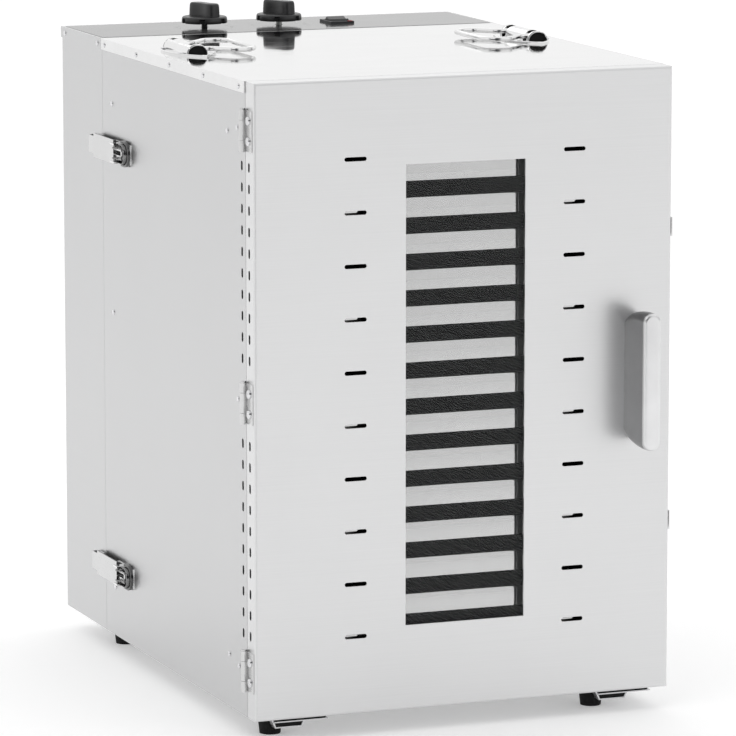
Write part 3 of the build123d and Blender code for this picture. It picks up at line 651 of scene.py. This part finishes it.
def build_latch_hasp(side, name, level):
    """Hasp: cover plate, narrower hook behind it, two arms and a cross pin."""
    node = f"latch_hasp_{name}_{level}"
    a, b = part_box(node)
    middle = (a + b) / 2
    outer = a.x if side < 0 else b.x
    raised = outer + side * 0.6 * MM
    bm = bmesh.new()
    front, hook_y = b.y - 80 * MM, b.y
    cover_back = hook_y - 18 * MM
    cover = [(raised, front), (raised, cover_back), (outer - side * 2.4 * MM, cover_back),
             (outer - side * 2.4 * MM, cover_back - SHEET), (raised - side * SHEET, cover_back - SHEET),
             (raised - side * SHEET, front + SHEET), (outer - side * 2.6 * MM, front + SHEET),
             (outer - side * 2.6 * MM, front)]
    prism(bm, cover, middle.z - 11.8 * MM, middle.z + 11.8 * MM, "z")
    hook_x = outer - side * 4.2 * MM
    hook = [(outer, cover_back - 4 * MM), (outer, hook_y - 0.8 * MM), (outer - side * 0.8 * MM, hook_y),
            (hook_x, hook_y), (hook_x, hook_y - SHEET), (outer - side * SHEET, hook_y - SHEET),
            (outer - side * SHEET, cover_back - 4 * MM)]
    prism(bm, hook, middle.z - 8.5 * MM, middle.z + 8.5 * MM, "z")
    bevelled(bm, 0.35 * MM, 2, 60)
    pin_y = a.y + 2 * MM
    arm = [(outer - side * 1.1 * MM, pin_y - 1.8 * MM), (outer - side * 1.1 * MM, front + 26 * MM),
           (outer - side * 3.6 * MM, front + 26 * MM), (outer - side * 3.6 * MM, pin_y - 1.8 * MM)]
    for s in (-1, 1):
        z0, z1 = sorted((middle.z + s * 2.2 * MM, middle.z + s * 4.0 * MM))
        prism(bm, arm, z0, z1, "z")
    tube(bm, [(outer - side * 2.4 * MM, pin_y, middle.z + z * MM) for z in (-5.7, 5.7)], 1.2 * MM, 12)
    piece(f"{node}_pressed", bm, LATCH_STEEL, f"{name}_{level}_hasp", (node,), 30)


# ---- knobs ------------------------------------------------------------------
def knob_piece(node, body, turn):
    """Black control knob: notched skirt, waisted bar grip turned by degrees, printed pointer."""
    a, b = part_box(node)
    middle = (a + b) / 2
    skirt_r, skirt_h = (b.x - a.x) / 2, KNOB_SKIRT_HEIGHT
    bm = bmesh.new()
    segments, notch_count, notch_width = 144, 6, 5
    profile = [(0.92, 0.0), (0.985, 0.02), (1.0, 0.10), (1.0, 0.55), (0.985, 0.80), (0.95, 0.96),
               (0.90, 1.0), (0.30, 1.02)]
    rings = []
    for radius, height in profile:
        points = []
        for k in range(segments):
            angle = 2 * pi * k / segments
            notched = k % (segments // notch_count) < notch_width and height < 0.7
            r = skirt_r * radius * (0.90 if notched and radius > 0.9 else 1.0)
            points.append((middle.x + r * cos(angle), middle.y + r * sin(angle), a.z + skirt_h * height))
        rings.append(ring_of(bm, points))
    skin(bm, rings)
    half_l, half_w, waist = 18.6 * MM, 8.2 * MM, 2.6 * MM
    outline = []
    steps = 56
    for k in range(steps):
        t = 2 * pi * k / steps
        c, s = cos(t), sin(t)
        x = half_l * abs(c) ** 0.55 * (1 if c >= 0 else -1)
        y = half_w * abs(s) ** 0.6 * (1 if s >= 0 else -1)
        y *= 1 - (waist / half_w) * (1 - (x / half_l) ** 2) ** 2
        outline.append((x, y))
    turn_by = Matrix.Rotation(radians(turn), 3, "Z")
    layers = ((1.02, 0.0), (1.0, 0.55), (0.985, 0.80), (0.95, 0.93), (0.88, 0.99), (0.5, 1.0))
    height = b.z - a.z - skirt_h
    grip_rings = []
    for scale, level in layers:
        points = []
        for x, y in outline:
            across = y * scale if scale > 0.9 else y * (scale * 0.9 + 0.05)
            p = turn_by @ Vector((x * scale, across, 0))
            z = a.z + skirt_h * 0.9 + (height + skirt_h * 0.1) * level
            points.append(Vector((middle.x, middle.y, z)) + p)
        grip_rings.append(ring_of(bm, points))
    skin(bm, grip_rings)
    piece(f"{node}_moulding", bm, KNOB_PLASTIC, body, (node,), 40)
    mark = bmesh.new()
    tip = turn_by @ Vector((14.0 * MM, 0, 0))
    root = turn_by @ Vector((7.0 * MM, 0, 0))
    side = turn_by @ Vector((0, 0.6 * MM, 0))
    base = Vector((middle.x, middle.y, 0))
    lo, hi = b.z - 0.25 * MM, b.z + 0.12 * MM
    corners = [root - side, tip - side, tip + side, root + side]
    skin(mark, [ring_of(mark, [base + Vector((c.x, c.y, lo)) for c in corners]),
                ring_of(mark, [base + Vector((c.x, c.y, hi)) for c in corners])])
    piece(f"{node}_pointer", mark, WHITE_INK, body)


# ---- door pull and feet -------------------------------------------------------
def build_door_pull():
    """Cast pull: stadium outline, softly rounded front, hollow from the free edge's side, its sides darkened
    with painted shade.
    """
    a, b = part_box("door_handle")
    bm = bmesh.new()
    rings = []
    profile = ((0.0, 8.0, 0.0), (0.0, 4.6, 0.12), (0.0, 2.4, 0.28), (0.0, 0.8, 0.5), (0.0, 0.0, 0.7),
               (0.0, 0.0, 0.925), (0.35, 0.35, 0.955), (1.1, 1.1, 0.98), (2.3, 2.3, 0.995), (3.6, 3.6, 1.0))
    for inset, shoulder, depth in profile:
        y = b.y + (a.y - b.y) * depth
        loop = rounded_loop(a.x + inset * MM, b.x - inset * MM, a.z + shoulder * MM, b.z - shoulder * MM, 0,
                            (8.5 - inset) * MM, 8)
        rings.append(ring_of(bm, [(p.x, y, p.y) for p in loop]))
    skin(bm, rings)
    pull = piece("door_pull", bm, HANDLE_METAL, "door", ("door_handle",), 50)
    cutter_bm = bmesh.new()
    x0, y0, z0 = a.x + 3.5 * MM, a.y + 10.5 * MM, a.z + 12 * MM
    loop = rounded_loop(y0, b.y + 20 * MM, z0, b.z - 12 * MM, 0, 7 * MM, 6)
    skin(cutter_bm, [ring_of(cutter_bm, [(x0, p.x, p.y) for p in loop]),
                     ring_of(cutter_bm, [(b.x + 5 * MM, p.x, p.y) for p in loop])])
    bmesh.ops.recalc_face_normals(cutter_bm, faces=cutter_bm.faces)
    mesh = bpy.data.meshes.new("pull_cutter")
    cutter_bm.to_mesh(mesh)
    cutter_bm.free()
    cutter = bpy.data.objects.new("pull_cutter", mesh)
    bpy.context.scene.collection.objects.link(cutter)
    cut = pull.modifiers.new("hollow", "BOOLEAN")
    cut.object, cut.operation, cut.solver = cutter, "DIFFERENCE", "EXACT"
    bpy.context.view_layer.update()
    carved = bpy.data.meshes.new_from_object(pull.evaluated_get(bpy.context.evaluated_depsgraph_get()))
    pull.modifiers.clear()
    pull.data = carved
    # every face behind the front takes the darker copy: painted shade
    carved.materials.append(PULL_SIDE_PAINTED_SHADE)
    for face in carved.polygons:
        if face.center.y > a.y + 3.2 * MM:
            face.material_index = 1
    smooth_by_angle(carved, 35)
    bpy.data.objects.remove(cutter)


def build_bracket_shade_pads():
    """Black blocks of painted shade in the two folded foot brackets, and a black strip of painted shade with
    a sheet edge above each.
    """
    a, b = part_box("foot_brackets")
    shade_pads, shade_strips, edges = bmesh.new(), bmesh.new(), bmesh.new()
    for left in (a.x, b.x - BRACKET_WIDTH):
        outline = [(left + 5.1 * MM, b.z - 1.4 * MM), (left + 38.9 * MM, b.z - 1.4 * MM),
                   (left + 34.3 * MM, b.z - 11.6 * MM), (left + 9.7 * MM, b.z - 11.6 * MM)]
        prism(shade_pads, outline, a.y + 0.8 * MM, a.y + 8.2 * MM, "y")
        outline = [(left + 9 * MM, b.z - 0.3 * MM), (left + 60 * MM, b.z - 0.3 * MM),
                   (left + 58 * MM, b.z - 6.2 * MM), (left + 9 * MM, b.z - 6.2 * MM)]
        prism(shade_strips, outline, a.y - 1.6 * MM, a.y + 24 * MM, "y")
        outline = [(left + 7 * MM, b.z - 6.2 * MM), (left + 61 * MM, b.z - 6.2 * MM),
                   (left + 61 * MM, b.z - 7.3 * MM), (left + 7 * MM, b.z - 7.3 * MM)]
        prism(edges, outline, a.y - 2.2 * MM, a.y + 26 * MM, "y")
    bevelled(edges, 0.3 * MM, 2, 60)
    # the black blocks and strips are painted shade: the bracket's hollow and the dark under the cabinet
    piece("foot_bracket_shade_pads", shade_pads, FOOT_RUBBER, "cabinet")
    piece("foot_strip_shade_pads", shade_strips, FOOT_RUBBER, "cabinet")
    piece("foot_strip_plates", edges, BRACKET_STEEL, "cabinet")


# ---- camera, light, floor -----------------------------------------------------
def set_camera():
    """The photograph's long lens, a little above the object and to its left."""
    cam = bpy.data.cameras.new("camera")
    cam.sensor_width = 36.0
    cam.lens = 258.4
    cam.clip_end = 50.0
    looks_down, turned_right = 9.384, 21.122
    obj = bpy.data.objects.new("camera", cam)
    obj.location = (-1.8427, -4.7795, 1.1504)
    obj.rotation_euler = (radians(90 - looks_down), 0.0, radians(-turned_right))
    bpy.context.scene.collection.objects.link(obj)
    bpy.context.scene.camera = obj


def dark_patch(tree, coords, direction, start, full, level):
    """How dark the studio is round a direction, from 0 up to level."""
    dot = put(tree, "ShaderNodeVectorMath", operation="DOT_PRODUCT")
    dot.inputs[1].default_value = Vector(direction).normalized()
    tree.links.new(coords.outputs["Generated"], dot.inputs[0])
    patch = put(tree, "ShaderNodeMapRange", interpolation_type="SMOOTHSTEP")
    for name, number in (("From Min", start), ("From Max", full), ("To Min", 0.0), ("To Max", level)):
        patch.inputs[name].default_value = number
    tree.links.new(dot.outputs["Value"], patch.inputs["Value"])
    return patch.outputs["Result"]


def set_world():
    """White studio with two dark patches, which give bright metal its dark lines."""
    world = bpy.data.worlds.new("studio")
    bpy.context.scene.world = world
    world.use_nodes = True
    tree = world.node_tree
    background = tree.nodes["Background"]
    coords = put(tree, "ShaderNodeTexCoord")
    front = dark_patch(tree, coords, (-0.40, -0.80, 0.45), 0.72, 0.90, 1.0)
    flank = dark_patch(tree, coords, (0.86, -0.30, 0.40), 0.90, 0.96, 0.8)
    both = combine(tree, front, flank, "MAXIMUM")
    tree.links.new(tint(tree, both, (1.0, 1.0, 1.0), (0.06, 0.06, 0.065)), background.inputs["Color"])
    background.inputs["Strength"].default_value = 1.0


def area_light(name, location, target, size, energy):
    """A soft rectangular light aimed at target."""
    light = bpy.data.lights.new(name, "AREA")
    light.shape = "RECTANGLE"
    light.size, light.size_y = size
    light.energy = energy
    obj = bpy.data.objects.new(name, light)
    obj.location = location
    obj.rotation_euler = (Vector(target) - Vector(location)).to_track_quat("-Z", "Y").to_euler()
    bpy.context.scene.collection.objects.link(obj)


def set_lights():
    area_light("key", (-1.6, -1.9, 2.6), (0, 0, 0.3), (1.6, 1.2), 9)
    area_light("fill", (2.4, -1.2, 1.8), (0, 0, 0.3), (1.4, 1.4), 4)
    area_light("back", (0.6, 2.6, 2.2), (0, 0, 0.5), (2.2, 1.0), 5)


def set_floor():
    """Plain pale floor that fades into the white studio."""
    bm = bmesh.new()
    size = 14.0
    corners = ((-size, -size, 0), (size, -size, 0), (size, size, 0), (-size, size, 0))
    bm.faces.new([bm.verts.new(p) for p in corners])
    mesh = bpy.data.meshes.new("floor")
    bm.to_mesh(mesh)
    bm.free()
    floor = bpy.data.objects.new("floor", mesh)
    bpy.context.scene.collection.objects.link(floor)
    mat, _, shader = new_material("pale_floor")
    shader.inputs["Base Color"].default_value = (0.94, 0.94, 0.94, 1)
    shader.inputs["Roughness"].default_value = 0.9
    shader.inputs["Emission Color"].default_value = (1, 1, 1, 1)
    shader.inputs["Emission Strength"].default_value = 0.27
    mesh.materials.append(mat)


bpy.context.scene.view_settings.view_transform = "Standard"
set_camera()
set_world()
set_lights()
set_floor()
dress_cad_nodes()
build_trays()
build_control_film()
build_door_pull()
build_bracket_shade_pads()
for side_sign, side_name in ((-1, "left"), (1, "right")):
    build_carry_trim(side_sign, side_name)
    build_plate_bead(side_sign, side_name)
    build_bail(side_sign, side_name)
    for level_name in ("lower", "upper"):
        build_latch_lever(side_sign, side_name, level_name)
        build_latch_hasp(side_sign, side_name, level_name)
knob_piece("timer_knob", "timer_dial", 110)
knob_piece("thermostat_knob", "thermostat_dial", 115)
